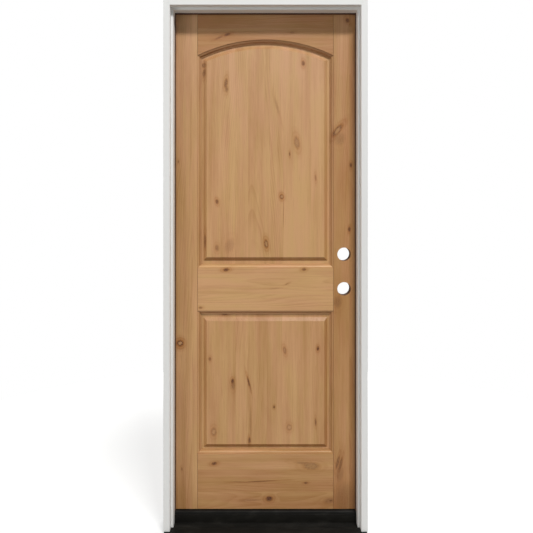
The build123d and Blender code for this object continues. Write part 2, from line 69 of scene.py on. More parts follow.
# How much each feature darkens the wood, the sheen of bare wood, how staves and boards are told apart, and
# how far the heart of a stave's log lies to either side of the board's
LATE_SHADE = 0.26
STREAK_SHADE = 0.95
CLOUD_SHADE = 0.95
FIBRE_SHADE = 0.56
FLECK_SHADE = 0.18
FOOT_SHADE = 0.36
END_GRAIN_SHADE = 0.70
WOOD_SHEEN = 0.40
STAVE_SEED = 3.7
BOARD_SEED = 1.3
HEART_SPREAD = (0.16, 0.07, 0.0)

# A knot's place on the door's face, sideways and up from the door's lower edge, half-width across and
# half-length along its own axis, all in millimetres, its turn in degrees, its darkness and its paler middle
Knot = namedtuple("Knot", "x z width length turn dark pale", defaults=(0.8, 0.0))

# A board: its CAD node, grain direction, the log's heart behind the face and how fast it drifts along the
# grain, darkness, the edges of its glued staves across the grain in millimetres, their tones, and its knots
Board = namedtuple("Board", "node grain heart drift shade edges tones knots")

STILES = (
    Board(
        "hinge_stile", UPRIGHT, (-0.29, 0.11), (0.004, 0.022), 0.34,
        (-322, -296), (-0.10, 0.04, 0.12),
        (
            Knot(-345, 669, 10, 11, 0, 1.5, 0.9),
            Knot(-352, 1403, 3, 6, 6, 0.45),
            Knot(-338, 161, 3, 7, -8, 0.4),
        ),
    ),
    Board(
        "lock_stile", UPRIGHT, (0.36, 0.10), (-0.006, 0.018), 0.61,
        (338,), (0.0, -0.14),
        (
            Knot(291, 1529, 8, 27, 38, 0.9, 0.75),
            Knot(300, 1496, 17, 24, 10, 0.28),
            Knot(345, 1389, 4, 9, 0, 0.8),
            Knot(339, 1130, 4, 9, 6, 0.85),
            Knot(331, 1974, 6, 9, -25, 0.8),
            Knot(292, 188, 4, 24, 14, 0.7, 0.3),
            Knot(303, 179, 4, 26, 14, 0.75, 0.3),
            Knot(300, 141, 12, 30, 4, 0.25),
            Knot(291, 836, 13, 22, 8, 0.34),
            Knot(322, 40, 34, 60, 0, 0.30),
        ),
    ),
)

RAILS = (
    Board(
        "top_rail", LEVEL, (2.00, 0.10), (0.02, 0.012), 0.74,
        (1941,), (0.0, -0.06),
        (
            Knot(-154, 1917, 4, 12, 72, 0.75),
            Knot(-188, 1904, 3, 16, 66, 0.45),
            Knot(108, 1925, 3, 9, 90, 0.35),
        ),
    ),
    Board(
        "lock_rail", LEVEL, (0.85, 0.13), (0.006, 0.01), 0.05,
        (867, 933), (0.06, -0.04, 0.04),
        (
            Knot(-159, 966, 5, 11, 84, 0.9),
            Knot(156, 968, 5, 8, 80, 0.7),
            Knot(-262, 813, 4, 7, 90, 0.6),
            Knot(86, 908, 2, 8, 62, 0.4),
            Knot(40, 891, 2, 24, 87, 0.25),
        ),
    ),
    Board(
        "bottom_rail", LEVEL, (-0.01, 0.12), (0.02, 0.024), 0.46,
        (70, 159), (0.08, -0.06, 0.05),
        (
            Knot(-207, 183, 5, 10, 80, 0.85),
            Knot(185, 173, 11, 30, 92, 0.55, 0.35),
            Knot(160, 184, 5, 38, 96, 0.35),
            Knot(-24, 111, 1.2, 62, 87, 0.75),
            Knot(-108, 109, 1.0, 30, 91, 0.45),
            Knot(163, 105, 3, 7, 88, 0.75),
            Knot(15, 41, 8, 12, 80, 1.0),
            Knot(260, 33, 9, 22, 84, 0.35),
            Knot(264, 33, 3, 6, 90, 0.7),
            Knot(-60, 35, 4, 40, 88, 0.25),
        ),
    ),
)

PANELS = (
    Board(
        "upper_panel", UPRIGHT, (0.0, 0.12), (0.0, 0.03), 0.16,
        (-123, -70, 19, 72, 185), (-0.04, 0.06, -0.07, 0.0, 0.09, 0.04),
        (
            Knot(-160, 1720, 5, 17, 6, 0.8, 0.2),
            Knot(-157, 1697, 5, 12, 4, 0.5),
            Knot(153, 1801, 5, 10, -4, 0.75),
            Knot(127, 1481, 8, 22, -10, 0.6, 0.5),
            Knot(98, 1434, 2.5, 8, 0, 0.6),
            Knot(66, 1262, 6, 9, -10, 1.0, 0.7),
            Knot(73, 1196, 0.9, 55, 1, 0.42),
            Knot(-196, 1242, 5, 9, -12, 0.75),
            Knot(3, 1070, 6, 15, -6, 1.0, 0.7),
            Knot(-196, 1054, 6, 12, -4, 0.45),
            Knot(-146, 1063, 14, 26, 20, 0.22),
            Knot(203, 1339, 3, 12, -4, 0.45),
            Knot(-250, 1793, 7, 9, 20, 0.7, 0.3),
            Knot(-249, 1766, 6, 16, 6, 0.55),
            Knot(-245, 1078, 4, 28, 0, 0.55),
            Knot(46, 1629, 4, 34, -14, 0.25),
        ),
    ),
    Board(
        "lower_panel", UPRIGHT, (0.0, 0.11), (0.0, 0.026), 0.27,
        (-121, -70, 5, 68, 153), (0.0, 0.06, -0.08, 0.0, 0.06, -0.06),
        (
            Knot(-133, 514, 5, 9, 4, 0.95),
            Knot(-132, 499, 7, 16, 0, 0.4),
            Knot(-68, 510, 2.6, 22, -14, 0.9),
            Knot(-60, 486, 2, 20, -6, 0.35),
            Knot(212, 646, 4, 8, 0, 0.95),
            Knot(-225, 605, 4, 7, 0, 0.6),
            Knot(78, 639, 5, 13, -12, 0.6, 0.4),
            Knot(35, 411, 3.5, 5, 0, 0.75),
            Knot(-209, 309, 8, 15, 0, 0.55, 0.8),
            Knot(-65, 276, 4, 11, 0, 0.8),
            Knot(96, 327, 8, 11, 0, 0.5, 0.8),
            Knot(203, 350, 3, 14, -3, 0.6),
            Knot(-163, 783, 10, 5, -12, 0.7),
            Knot(-60, 346, 3, 60, 0, 0.25),
        ),
    ),
)

PAINTED = ("hinge_jamb", "strike_jamb", "head_jamb")
DOWELS = ("top_rail_dowels", "lock_rail_dowels", "bottom_rail_dowels")
HINGE_PLACES = ("upper", "middle", "lower")
ADJUSTERS = ("cap_adjuster_1", "cap_adjuster_2", "cap_adjuster_3", "cap_adjuster_4")

# Screws: CAD node, the body they ride on and their material slot
SCREWS = (
    ("frame_leaf_screws", "frame", "hinge_bronze"),
    ("door_leaf_screws", "door", "hinge_bronze"),
    ("head_joint_screws", "frame", "zinc_steel"),
    ("sill_joint_screws", "frame", "zinc_steel"),
)

# Seals: CAD node, the way from the jamb into the doorway, and the way along the seal
SEALS = (
    ("hinge_weatherstrip", (1.0, 0.0, 0.0), (0.0, 0.0, 1.0)),
    ("strike_weatherstrip", (-1.0, 0.0, 0.0), (0.0, 0.0, 1.0)),
    ("head_weatherstrip", (0.0, 0.0, -1.0), (1.0, 0.0, 0.0)),
)

# Sections in millimetres: half of the seal's barbed fin as depth and half-width from its tip, the fin's
# middle above the bulb's root, half of one fin of the sweep, and half of one barb with its place
SEAL_FIN = ((0.0, 0.2), (1.2, 0.9), (3.4, 1.2), (3.5, 0.7), (6.2, 1.2), (6.3, 0.7), (10.0, 0.9))
SEAL_FIN_MIDDLE = 2.7
SWEEP_FIN = ((0.6, -1.2), (0.25, -2.8))
SWEEP_BARB = ((0.4, 0.0), (0.4, 2.0), (0.6, 2.3), (0.4, 4.6), (0.6, 5.0), (0.15, 8.0))
SWEEP_BARB_PLACE = 11.0

# Foam: how uneven a seal's nose is, its waves along the seal in radians per metre, and the pads' round edge
SEAL_RIPPLE = 0.12 * MM
SEAL_WAVES = (17.0, 41.0)
PAD_ROUND = 2.2 * MM

# Points nearer than this are one, and an edge that turns less than this is drawn smooth
WELD = 1e-6
SMOOTH_TURN = math.radians(32.0)

# Share of the floor's radius beyond which the floor is lifted further, up to white at the rim
FLOOR_CENTRE = 0.4

# Lamps: name, place, aim, and width and height in metres
LAMPS = (
    ("key", (2.2, -5.2, 8.86), (0.0, 0.0, 1.2), (2.25, 0.62)),
    ("right", (4.3, -3.4, 1.8), (0.0, 0.0, 1.1), (2.4, 2.4)),
    ("left", (-4.1, -3.7, 1.9), (0.0, 0.0, 1.1), (2.7, 2.4)),
    ("back", (1.6, 4.6, 4.2), (0.0, 0.0, 1.1), (2.4, 2.4)),
)


# Properties


def colour(name, description, default):
    """A colour property, linear RGB."""
    return FloatVectorProperty(
        name=name, description=description, default=default, subtype="COLOR", size=3, min=0.0, max=1.0
    )


def length(name, description, default):
    """A length property in metres."""
    return FloatProperty(name=name, description=description, default=default, unit="LENGTH", precision=4)


def power(name, description, default):
    """A lamp's power in watts."""
    return FloatProperty(name=name, description=description, default=default, unit="POWER")


def share(name, description, default):
    """A share from 0 to 1."""
    return FloatProperty(
        name=name, description=description, default=default, subtype="FACTOR", min=0.0, max=1.0
    )


class DoorFinish(bpy.types.PropertyGroup):
    """Colours and fine sizes of the door's surfaces."""

    light_wood: colour("Light wood", "Early wood between the rings", (0.625, 0.36, 0.175))
    dark_wood: colour("Dark wood", "Late wood and streaks", (0.38, 0.178, 0.060))
    knot_halo: colour("Knot surround", "Tint of the stained wood round a knot", (0.66, 0.46, 0.24))
    knot_core: colour("Knot", "Tint of a dark knot", (0.17, 0.075, 0.028))
    rosy: colour("Rosy wood", "Tint of the pinkish patches", (1.0, 0.965, 0.96))
    golden: colour("Golden wood", "Tint of the yellowish patches", (0.97, 0.995, 0.88))
    # Painted shade on the machined slopes that don't face up
    slope_shade: colour("Slope_shade", "Tint of the machined profile", (0.85, 0.78, 0.65))
    # Painted shade in the profile's crevices and under the rails
    crevice_shade: colour("Crevices", "Tint of the wood deep in the profile", (0.50, 0.30, 0.12))
    # Painted shade on the walls of the lock's bores
    bore_shade: colour("Bore wall", "Wood scorched by the hole saw", (0.28, 0.22, 0.18))
    crevice: length("Crevice", "How near the walls of a crevice stand", 0.005)
    # A bluer tint towards the top of the door; the painted shade on slopes and undersides weakens there
    crown: colour("Crown", "Tint of the paler, rosier wood near the top", (1.0, 1.02, 1.15))
    crown_height: length("Crown start", "Where the paler wood starts, up from the door's lower edge", 1.15)
    foot_height: length("Foot", "How far the darker wood reaches up from the door's lower edge", 0.17)
    ring_width: length("Ring width", "Distance between growth rings", 0.0042)
    paint: colour("Primer", "White primer on the frame", (0.86, 0.86, 0.84))
    foam: colour("Seal", "Brown skin of the weatherstrip and the pads", (0.050, 0.024, 0.014))
    vinyl: colour("Vinyl", "Black vinyl of the sweep", (0.014, 0.014, 0.014))
    sill: colour("Sill", "Dark anodised sill deck", (0.0055, 0.0050, 0.0038))
    cap: colour("Cap", "Black threshold cap", (0.0098, 0.0095, 0.0085))
    composite: colour("Core", "Grey composite under the deck", (0.060, 0.058, 0.054))
    bronze: colour("Bronze", "Dark bronze of the hinges", (0.085, 0.056, 0.036))
    worn_bronze: colour("Worn bronze", "Rubbed edges of the hinges", (0.34, 0.215, 0.125))
    zinc: colour("Zinc", "Plated screws", (0.60, 0.60, 0.57))
    beech: colour("Beech", "Dowels inside the joints", (0.60, 0.40, 0.235))
    edge_radius: length("Eased edge", "Radius of the eased edges", 0.0012)
    sanded_radius: length("Sanded edge", "Radius of the wood's sanded edges", 0.00015)
    seal_nose: length("Seal nose", "Radius of the seal's nose", 0.0036)
    recess_depth: length("Recess depth", "Depth of a screw's cross recess", 0.0014)


class DoorStage(bpy.types.PropertyGroup):
    """Camera, lamps and floor."""

    lens: FloatProperty(
        name="Lens", description="Focal length of the camera", default=37.28, unit="CAMERA"
    )
    eye: FloatVectorProperty(
        name="Camera", description="Place of the camera", default=(-0.006, -2.217, 1.2507),
        subtype="TRANSLATION", size=3,
    )
    shift: FloatVectorProperty(
        name="Shift", description="Sideways and upward shift of the view", default=(0.0047, -0.0985), size=2
    )
    key_power: power("Key", "Power of the high front lamp", 762.0)
    right_power: power("Right", "Power of the right-hand lamp", 21.0)
    left_power: power("Left", "Power of the left-hand lamp", 84.0)
    back_power: power("Back", "Power of the lamp behind the door", 200.0)
    ambient: share("Ambient", "Strength of the room's own light", 0.07)
    floor_glow: share("Floor white", "How far the floor by the door is lifted to white", 0.66)
    floor_size: length("Floor", "Width of the round floor", 4.6)
    floor_colour: colour("Floor colour", "Pale floor", (0.39, 0.39, 0.38))


# Node helpers


class Graph:
    """Adds nodes to one shader tree. An input given as another node's socket is linked."""

    # Nodes in one row of the layout, and the steps to the next node and the next row
    row = 14
    step = (220, -320)

    def __init__(self, tree):
        self.tree = tree
        self.tree.nodes.clear()
        self.count = 0

    def add(self, kind, inputs=None, **options):
        """Adds a node, sets its options, fills its inputs by name or number, and lays it out in rows."""
        node = self.tree.nodes.new(kind)
        node.location = (self.step[0] * (self.count % self.row), self.step[1] * (self.count // self.row))
        self.count += 1
        for option, value in options.items():
            setattr(node, option, value)
        for socket, value in (inputs or {}).items():
            if isinstance(value, bpy.types.NodeSocket):
                self.tree.links.new(value, node.inputs[socket])
            else:
                node.inputs[socket].default_value = value
        return node

    def group(self, tree, inputs):
        """Adds a node group; its sockets exist only once it has its tree."""
        return self.add("ShaderNodeGroup", inputs, node_tree=tree)

    def math(self, operation, *values, clamp=False):
        """The result of a Math node."""
        node = self.add("ShaderNodeMath", dict(enumerate(values)), operation=operation, use_clamp=clamp)
        return node.outputs[0]

    def flipped(self, value):
        """1 for 0, and 0 for 1."""
        return self.math("SUBTRACT", 1.0, value)

    def vector(self, operation, *values):
        """The result of a Vector Math node."""
        node = self.add("ShaderNodeVectorMath", dict(enumerate(values)), operation=operation)
        return node.outputs["Value" if operation in ("LENGTH", "DOT_PRODUCT") else "Vector"]

    def scaled(self, vector, factors):
        """A vector with each axis scaled by itself."""
        return self.vector("MULTIPLY", vector, factors)

    def centred(self, shade, spread):
        """A random colour as a shift of this spread about zero."""
        return self.scaled(self.vector("SUBTRACT", shade, (0.5, 0.5, 0.5)), spread)

    def smooth(self, value, low, high):
        """0 below low, 1 above high, and a smooth step between."""
        node = self.add(
            "ShaderNodeMapRange",
            {"Value": value, "From Min": low, "From Max": high},
            interpolation_type="SMOOTHSTEP",
        )
        return node.outputs["Result"]

    def noise(self, vector, scale=1.0, detail=2.0, roughness=0.5, output="Fac"):
        """The value or colour of a noise."""
        node = self.add(
            "ShaderNodeTexNoise",
            {"Vector": vector, "Scale": scale, "Detail": detail, "Roughness": roughness},
        )
        return node.outputs[output]

    def scatter(self, value, output="Value"):
        """A number or colour that is different for each whole number."""
        return self.add("ShaderNodeTexWhiteNoise", {"W": value}, noise_dimensions="1D").outputs[output]

    def mix(self, factor, first, second, mode="MIX"):
        """Two colours mixed by a factor."""
        node = self.add("ShaderNodeMix", {0: factor, 6: first, 7: second}, data_type="RGBA", blend_type=mode)
        return node.outputs[2]

    def tint(self, factor, base, shade):
        """A colour multiplied by a plain one as far as the factor goes."""
        return self.mix(factor, base, rgba(shade), "MULTIPLY")

    def tones(self, factor, body, gain):
        """A plain colour mixed with a paler or darker one of the same hue."""
        return self.mix(factor, rgba(body), rgba(channel * gain for channel in body))

    def separate(self, vector):
        """The three axes of a vector."""
        return self.add("ShaderNodeSeparateXYZ", {"Vector": vector}).outputs

    def combine(self, x, y, z):
        """A vector of three values."""
        return self.add("ShaderNodeCombineXYZ", {"X": x, "Y": y, "Z": z}).outputs["Vector"]

    def place(self):
        """The point on the piece."""
        return self.add("ShaderNodeTexCoord").outputs["Object"]

    def facing(self):
        """The way a surface faces, along the piece's own axes."""
        normal = self.add(
            "ShaderNodeVectorTransform",
            {"Vector": self.add("ShaderNodeNewGeometry").outputs["Normal"]},
            vector_type="NORMAL", convert_from="WORLD", convert_to="OBJECT",
        )
        return self.separate(normal.outputs["Vector"])

    def seen(self):
        """1 for the camera's rays and those by way of a mirror or glass, and 0 for light on the door."""
        path = self.add("ShaderNodeLightPath").outputs
        direct = self.math("MAXIMUM", path["Is Camera Ray"], path["Is Glossy Ray"])
        return self.math("MAXIMUM", direct, path["Is Transmission Ray"])


def rgba(value):
    """A colour with full opacity."""
    return (*value, 1.0)


def new_group(name, inputs, outputs):
    """A node group with its sockets; returns its graph, its input sockets and its output node."""
    tree = bpy.data.node_groups.new(name, "ShaderNodeTree")
    graph = Graph(tree)
    for socket, kind in inputs:
        tree.interface.new_socket(socket, in_out="INPUT", socket_type=kind)
    for socket, kind in outputs:
        tree.interface.new_socket(socket, in_out="OUTPUT", socket_type=kind)
    return graph, graph.add("NodeGroupInput").outputs, graph.add("NodeGroupOutput")


def finish_group(graph, out, values):
    """Links a group's results to its output node."""
    for socket, value in values.items():
        graph.tree.links.new(value, out.inputs[socket])
    return graph.tree


def new_material(name, **constants):
    """A material with one main shader whose constant sockets are set directly."""
    material = bpy.data.materials.new(name)
    material.use_nodes = True
    graph = Graph(material.node_tree)
    shader = graph.add("ShaderNodeBsdfPrincipled")
    for socket, value in constants.items():
        shader.inputs[socket.replace("_", " ")].default_value = value
    output = graph.add("ShaderNodeOutputMaterial")
    graph.tree.links.new(shader.outputs["BSDF"], output.inputs["Surface"])
    return material, graph, shader


def finish_surface(graph, shader, base, rough, height, radius, relief):
    """Gives a shader its colour, roughness, eased edges and relief in metres."""
    eased = graph.add("ShaderNodeBevel", {"Radius": radius}, samples=6).outputs["Normal"]
    bump = graph.add(
        "ShaderNodeBump", {"Strength": 1.0, "Distance": relief, "Height": height, "Normal": eased}
    )
    for socket, value in (("Base Color", base), ("Roughness", rough), ("Normal", bump.outputs["Normal"])):
        graph.tree.links.new(value, shader.inputs[socket])


def edge_mask(graph, radius, low, high):
    """1 on sharp edges and 0 on flats."""
    eased = graph.add("ShaderNodeBevel", {"Radius": radius}, samples=6).outputs["Normal"]
    flat = graph.add("ShaderNodeNewGeometry").outputs["True Normal"]
    return graph.smooth(graph.flipped(graph.vector("DOT_PRODUCT", eased, flat)), low, high)


# Wood


def grain_group():
    """Figure of a flat-sawn board whose log has its heart behind the face."""
    vector, number = "NodeSocketVector", "NodeSocketFloat"
    graph, given, out = new_group(
        "alder_grain",
        (
            ("Board", vector), ("Heart", vector), ("Drift", vector),
            ("Bend", number), ("Ring", number), ("Seed", number),
        ),
        tuple((name, number) for name in ("Late", "Streak", "Fibre", "Fleck", "Cloud", "Hue")),
    )
    shifted = graph.vector("ADD", given["Board"], graph.combine(given["Seed"], 0.0, given["Seed"]))
    along = graph.separate(given["Board"])[2]
    wander = graph.noise(graph.scaled(shifted, (7.0, 7.0, 1.1)), detail=2.0, output="Color")
    wander = graph.centred(wander, (0.045, 0.045, 0.0))
    drift = graph.scaled(given["Drift"], graph.combine(along, along, along))
    ray = graph.vector("SUBTRACT", graph.vector("SUBTRACT", given["Board"], given["Heart"]), drift)
    ray = graph.scaled(graph.vector("ADD", ray, wander), (1.0, 1.0, 0.0))
    ring = graph.math("ADD", graph.vector("LENGTH", ray), given["Bend"])
    ring = graph.math("DIVIDE", ring, given["Ring"])
    year = graph.math("FRACT", ring)
    late = graph.math("SUBTRACT", graph.smooth(year, 0.25, 0.90), graph.smooth(year, 0.90, 1.0))
    strength = graph.scatter(graph.math("ADD", graph.math("FLOOR", ring), given["Seed"]))
    late = graph.math("MULTIPLY", late, graph.math("MULTIPLY_ADD", strength, 0.9, 0.1))
    streak = graph.noise(graph.scaled(shifted, (38.0, 38.0, 1.2)), detail=3.0, roughness=0.55)
    fibre = graph.noise(graph.scaled(shifted, (900.0, 900.0, 14.0)), detail=2.0)
    fleck = graph.smooth(graph.noise(graph.scaled(shifted, (330.0, 330.0, 17.0)), detail=1.0), 0.62, 0.76)
    cloud = graph.noise(graph.scaled(shifted, (11.0, 11.0, 2.6)), detail=3.0)
    hue = graph.smooth(graph.noise(graph.scaled(shifted, (23.0, 23.0, 4.0)), detail=2.0), 0.34, 0.66)
    return finish_group(
        graph,
        out,
        {"Late": late, "Streak": streak, "Fibre": fibre, "Fleck": fleck, "Cloud": cloud, "Hue": hue},
    )


def knot_group():
    """One knot: its dark core, the stained wood round it, and how far it pushes the rings aside."""
    vector, number = "NodeSocketVector", "NodeSocketFloat"
    graph, given, out = new_group(
        "alder_knot",
        (
            ("Point", vector), ("Place", vector), ("Turn", vector), ("Size", vector),
            ("Dark", number), ("Pale", number), ("Push", number),
        ),
        (("Core", number), ("Halo", number), ("Bend", number)),
    )
    inside = graph.add(
        "ShaderNodeMapping",
        {
            "Vector": given["Point"],
            "Location": given["Place"],
            "Rotation": given["Turn"],
            "Scale": given["Size"],
        },
        vector_type="TEXTURE",
    ).outputs["Vector"]
    rough = graph.noise(graph.scaled(given["Point"], (160.0, 25.0, 90.0)), detail=2.0, output="Color")
    flat = graph.vector("ADD", graph.scaled(inside, (1.0, 0.0, 1.0)), graph.centred(rough, (0.6, 0.0, 0.45)))
    reach = graph.vector("LENGTH", flat)
    core = graph.flipped(graph.smooth(reach, 0.60, 1.25))
    middle = graph.flipped(graph.smooth(reach, 0.35, 0.80))
    core = graph.math("SUBTRACT", core, graph.math("MULTIPLY", middle, given["Pale"]), clamp=True)
    crumb = graph.noise(graph.scaled(given["Point"], (300.0, 0.0, 190.0)), detail=2.0)
    gap = graph.flipped(graph.smooth(crumb, 0.36, 0.60))
    broken = graph.math("MULTIPLY_ADD", given["Pale"], 0.35, 0.45)
    crumb = graph.flipped(graph.math("MULTIPLY", broken, gap))
    core = graph.math("MULTIPLY", core, crumb)
    tail = graph.vector("LENGTH", graph.scaled(flat, (0.36, 0.0, 0.27)))
    halo = graph.flipped(graph.smooth(tail, 0.12, 1.0))
    swirl = graph.math("SINE", graph.math("MULTIPLY", reach, 7.0))
    halo = graph.math("MULTIPLY", halo, graph.math("MULTIPLY_ADD", swirl, 0.22, 0.78))
    halo = graph.math("SUBTRACT", halo, graph.math("MULTIPLY", middle, given["Pale"]), clamp=True)
    swell = graph.math("EXPONENT", graph.math("MULTIPLY", graph.math("POWER", reach, 2.0), -0.22))
    return finish_group(
        graph,
        out,
        {
            "Core": graph.math("MULTIPLY", core, given["Dark"]),
            "Halo": graph.math("MULTIPLY", halo, given["Dark"]),
            "Bend": graph.math("MULTIPLY", swell, given["Push"]),
        },
    )


def add_knots(graph, point, knots, group):
    """Adds a board's knots and returns their joint core, surround and push on the rings."""
    core, halo, bend = 0.0, 0.0, 0.0
    lean = math.radians(9.0)
    for number, knot in enumerate(knots):
        node = graph.group(
            group,
            {
                "Point": point,
                "Place": (knot.x * MM, 0.0, knot.z * MM),
                "Turn": (lean * (-1) ** number, math.radians(knot.turn), 0.0),
                "Size": (1.25 * knot.width * MM, 1.0, knot.length * MM),
                "Dark": knot.dark,
                "Pale": knot.pale,
                "Push": 1.6 * MM * math.sqrt(knot.width),
            },
        )
        core = graph.math("MAXIMUM", core, node.outputs["Core"])
        halo = graph.math("MAXIMUM", halo, node.outputs["Halo"])
        bend = graph.math("ADD", bend, node.outputs["Bend"])
    return core, halo, bend


def add_staves(graph, across, board):
    """Numbers the glued staves across a board and returns the number and each one's tone."""
    index, tone = 0.0, board.tones[0]
    for number, edge in enumerate(board.edges):
        past = graph.math("GREATER_THAN", across, edge * MM)
        index = graph.math("ADD", index, past)
        tone = graph.math("MULTIPLY_ADD", past, board.tones[number + 1] - board.tones[number], tone)
    return index, tone


def add_profile(graph, board):
    """Masks for painted shade on the machined slopes that don't face up and on faces that face down, and how
    far a face cuts the grain.
    """
    facing = graph.facing()
    flat = graph.math("ABSOLUTE", facing[board.grain[1]])
    along = graph.math("ABSOLUTE", facing[board.grain[2]])
    slope = graph.flipped(graph.smooth(flat, 0.75, 0.97))
    sheltered = graph.flipped(graph.smooth(facing["Z"], 0.05, 0.5))
    under = graph.smooth(graph.math("MULTIPLY", facing["Z"], -1.0), 0.1, 0.6)
    return graph.math("MULTIPLY", slope, sheltered), under, graph.smooth(along, 0.1, 1.0)


def add_bore_walls(graph, sideways):
    """1 on the walls of the lock's bores, where shade is painted, and 0 on other faces."""
    face_on = graph.smooth(graph.math("ABSOLUTE", graph.facing()["Y"]), 0.2, 0.6)
    near = graph.math("COMPARE", sideways, BORE_LINE, BORE_REACH)
    return graph.math("MULTIPLY", near, graph.flipped(face_on))


def add_figure(graph, board, axes, bend, grain, ring_width):
    """Adds a board's grain, with each stave from its own log; returns the figure and the staves' tones."""
    across, through, along = (axes[axis] for axis in board.grain)
    index, tone = add_staves(graph, across, board)
    seed = graph.math("MULTIPLY_ADD", index, STAVE_SEED, len(board.knots) * BOARD_SEED)
    offset = graph.centred(graph.scatter(seed, "Color"), HEART_SPREAD)
    figure = graph.group(
        grain,
        {
            "Board": graph.combine(across, through, along),
            "Heart": graph.vector("ADD", (*board.heart, 0.0), offset),
            "Drift": (*board.drift, 0.0),
            "Bend": bend,
            "Ring": ring_width,
            "Seed": seed,
        },
    )
    return figure.outputs, tone


def wood_shade(graph, board, figure, tone, foot, cut):
    """How dark the wood is, from 0 to 1."""
    shade = graph.math("MULTIPLY_ADD", figure["Late"], LATE_SHADE, board.shade)
    for name, weight in (("Streak", STREAK_SHADE), ("Cloud", CLOUD_SHADE), ("Fibre", FIBRE_SHADE)):
        shade = graph.math("MULTIPLY_ADD", graph.math("SUBTRACT", figure[name], 0.5), weight, shade)
    shade = graph.math("SUBTRACT", shade, tone)
    shade = graph.math("MULTIPLY_ADD", foot, FOOT_SHADE, shade)
    shade = graph.math("MULTIPLY_ADD", cut, END_GRAIN_SHADE, shade)
    return graph.math("MULTIPLY_ADD", figure["Fleck"], FLECK_SHADE, shade, clamp=True)


def alder(board, finish, grain, knot):
    """Unfinished knotty alder for one board, with its own staves, rings and knots."""
    material, graph, shader = new_material(board.node + "_alder", Specular_IOR_Level=WOOD_SHEEN)
    low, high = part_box("hinge_stile")
    point = graph.vector("SUBTRACT", graph.place(), (0.0, low.y, low.z))
    axes = graph.separate(point)
    core, halo, bend = add_knots(graph, point, board.knots, knot)
    figure, tone = add_figure(graph, board, axes, bend, grain, finish.ring_width)
    shaded_slopes, under, cut = add_profile(graph, board)
    foot = graph.flipped(graph.smooth(axes["Z"], 0.0, finish.foot_height))
    crown = graph.smooth(axes["Z"], finish.crown_height, high.z - low.z)

    shade = wood_shade(graph, board, figure, tone, foot, cut)
    base = graph.mix(shade, rgba(finish.light_wood), rgba(finish.dark_wood))
    # Painted shade on the machined slopes that don't face up, weaker towards the top
    slope_shade_mask = graph.math("MULTIPLY", shaded_slopes, graph.math("MULTIPLY_ADD", crown, -0.7, 1.0))
    base = graph.tint(slope_shade_mask, base, finish.slope_shade)
    # A bluer tint towards the top of the door
    base = graph.tint(crown, base, finish.crown)
    # Painted shade in the profile's crevices, found by ambient occlusion, and on the rails' undersides,
    # weaker towards the top
    open_air = graph.add("ShaderNodeAmbientOcclusion", {"Distance": finish.crevice}, samples=8).outputs["AO"]
    crevice_shade_mask = graph.flipped(graph.smooth(open_air, 0.22, 0.72))
    if board.grain == LEVEL:
        under = graph.math("MULTIPLY", under, graph.math("MULTIPLY_ADD", crown, -0.6, 0.6))
        crevice_shade_mask = graph.math("MAXIMUM", crevice_shade_mask, under)
    base = graph.tint(crevice_shade_mask, base, finish.crevice_shade)
    rough = graph.math("MULTIPLY_ADD", figure["Fibre"], 0.20, 0.34)
    # Painted shade on the walls of the lock's bores, made rough there so they show no reflection
    if board.node == BORED:
        bore_shade_mask = add_bore_walls(graph, axes["X"])
        base = graph.tint(bore_shade_mask, base, finish.bore_shade)
        rough = graph.math("MAXIMUM", rough, bore_shade_mask)
    hue = graph.mix(figure["Hue"], rgba(finish.rosy), rgba(finish.golden))
    base = graph.mix(1.0, base, hue, "MULTIPLY")
    base = graph.tint(halo, base, finish.knot_halo)
    base = graph.tint(core, base, finish.knot_core)

    height = graph.math("MULTIPLY_ADD", figure["Late"], 0.5, graph.math("MULTIPLY", figure["Fibre"], 0.6))
    height = graph.math("SUBTRACT", height, graph.math("MULTIPLY", core, 0.8))
    finish_surface(graph, shader, base, rough, height, finish.sanded_radius, 0.25 * MM)
    return material


# Paint, plastic and metal


def primer(finish):
    """White primer brushed along the wood, with a faint grain under it and a little grime."""
    material, graph, shader = new_material("white_primer", Specular_IOR_Level=0.4)
    point = graph.place()
    brush = graph.noise(graph.scaled(point, (520.0, 520.0, 6.0)), detail=2.0)
    cloud = graph.noise(graph.scaled(point, (9.0, 9.0, 3.0)), detail=3.0)
    shade = graph.math("ADD", graph.math("MULTIPLY", brush, 0.07), graph.math("MULTIPLY", cloud, 0.07))
    base = graph.tones(shade, finish.paint, 0.86)
    rough = graph.math("MULTIPLY_ADD", brush, 0.12, 0.40)
    finish_surface(graph, shader, base, rough, brush, finish.edge_radius, 0.12 * MM)
    return material


def foam_skin(finish):
    """Brown film drawn over foam, finely pebbled."""
    material, graph, shader = new_material("seal_film", Specular_IOR_Level=0.35)
    point = graph.place()
    pebble = graph.noise(point, scale=900.0, detail=2.0)
    crease = graph.noise(graph.scaled(point, (60.0, 60.0, 14.0)), detail=3.0)
    base = graph.tones(crease, finish.foam, 1.7)
    rough = graph.math("MULTIPLY_ADD", pebble, 0.2, 0.5)
    height = graph.math("ADD", graph.math("MULTIPLY", pebble, 0.3), crease)
    finish_surface(graph, shader, base, rough, height, finish.edge_radius, 0.3 * MM)
    return material


def black_vinyl(finish):
    """Soft black extrusion with faint drawing lines along it."""
    material, graph, shader = new_material("black_vinyl", Specular_IOR_Level=0.45)
    point = graph.place()
    line = graph.noise(graph.scaled(point, (7.0, 900.0, 900.0)), detail=2.0)
    dust = graph.noise(point, scale=35.0, detail=4.0)
    base = graph.tones(graph.smooth(dust, 0.45, 0.8), finish.vinyl, 2.6)
    rough = graph.math("MULTIPLY_ADD", dust, 0.25, 0.38)
    finish_surface(graph, shader, base, rough, line, finish.edge_radius, 0.08 * MM)
    return material


